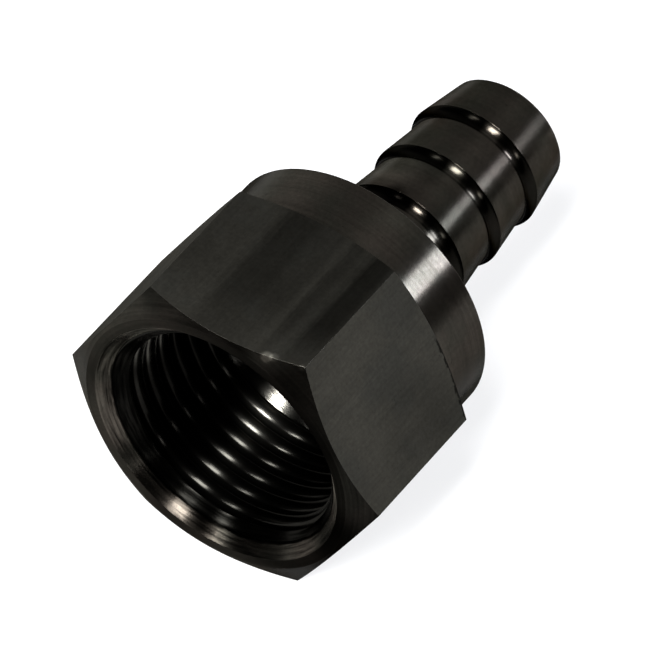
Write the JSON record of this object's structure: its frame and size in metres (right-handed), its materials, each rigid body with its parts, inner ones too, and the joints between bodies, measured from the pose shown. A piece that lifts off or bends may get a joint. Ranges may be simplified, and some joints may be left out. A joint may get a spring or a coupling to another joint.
{
  "type": "swivel hose barb fitting",
  "caption": "Stainless swivel hose barb: a hexagon nut with a female pipe thread turns freely on a hollow barbed hose tail.",
  "frame": {"origin": "on the fitting's axis at the foot of the mouth's countersink, where the female thread starts", "axes": "+X along the axis towards the hose end, +Z out of the hexagon flat that lies uppermost, +Y out of a hexagon corner"},
  "size_m": [0.0418, 0.0294, 0.0254],
  "materials": {
    "nut_steel": "drawn hexagon flats with turned chamfers and collar, dark",
    "tail_steel": "fine turned, dark",
    "ring_wire": "drawn spring wire"
  },
  "bodies": {
    "nut": {"swivel_nut": "nut_steel", "retaining_ring": "ring_wire"},
    "tail": {"barb_tail": "tail_steel"}
  },
  "joints": [
    {"name": "tail_swivel", "type": "hinge", "parent": "nut", "child": "tail", "pos_m": [0.01755, 0, 0], "axis": [1, 0, 0], "continuous": true}
  ]
}
